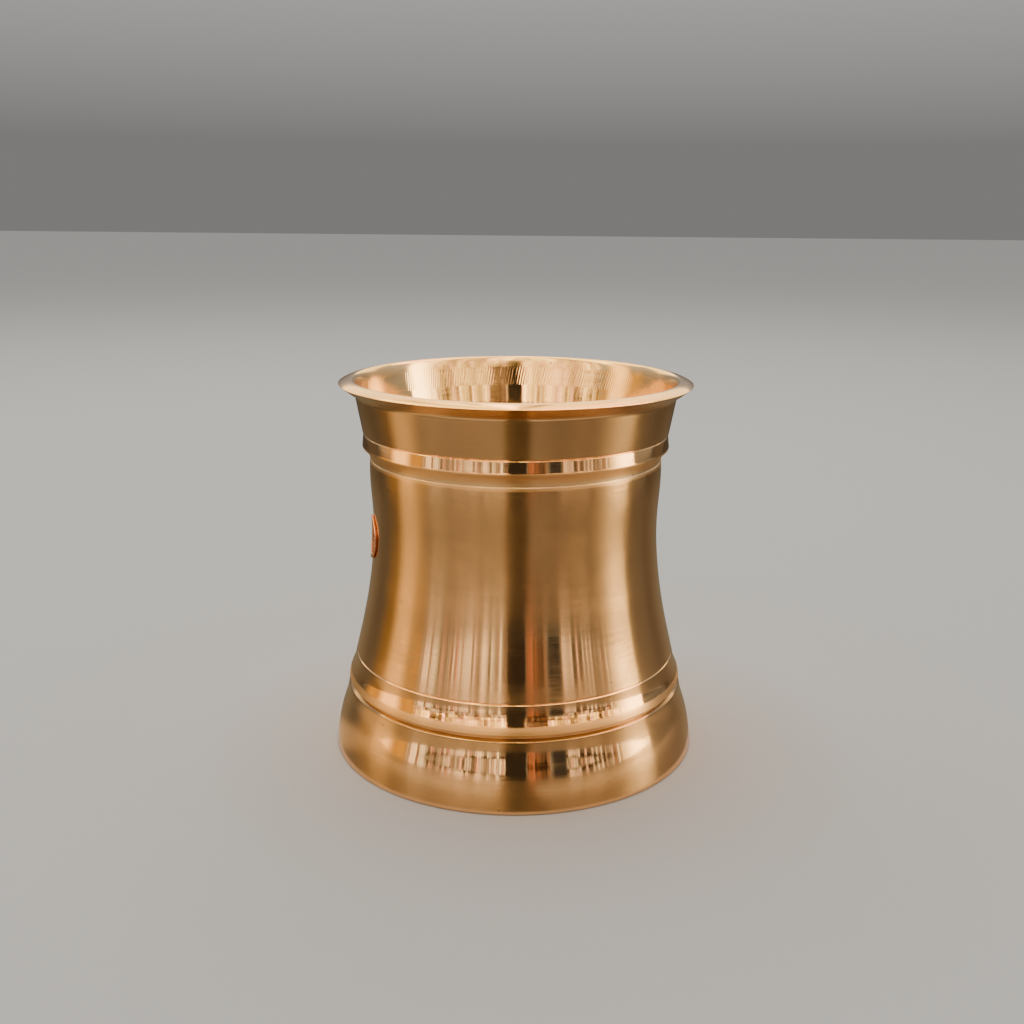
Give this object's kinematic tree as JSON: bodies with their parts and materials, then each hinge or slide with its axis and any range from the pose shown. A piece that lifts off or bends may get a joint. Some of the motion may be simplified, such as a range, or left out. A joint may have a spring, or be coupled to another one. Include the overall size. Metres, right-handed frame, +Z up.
{
  "type": "waisted brass kalash pot",
  "caption": "Waisted brass pot with an out-turned lip, a collar and a flared foot set off by polished beads, a closed bottom and a small round medallion on its side.",
  "frame": {"origin": "middle of the plane the pot stands on, on its axis", "axes": "+Z up along the pot's axis; -Y is the front, and the medallion is on the left, 79.5 degrees round from -Y towards -X"},
  "size_m": [0.0998, 0.0998, 0.1011],
  "materials": {
    "turned_brass": "coppery brass, turned on a lathe and polished, with fine rings around the axis; bright beads and lip",
    "medallion_copper": "pressed copper, worn bright on the rim and dark red-brown in the field",
    "braze": "dull brazing alloy, darkened by the flux",
    "soft_solder": "dull grey tin solder"
  },
  "bodies": {
    "root": {"collar": "turned_brass", "waist_drum": "turned_brass", "foot_skirt": "turned_brass", "bottom_plate": "turned_brass", "upper_braze_ring": "braze", "lower_braze_ring": "braze", "base_solder_ring": "soft_solder", "side_medallion": "medallion_copper", "medallion_solder": "soft_solder"}
  },
  "joints": []
}
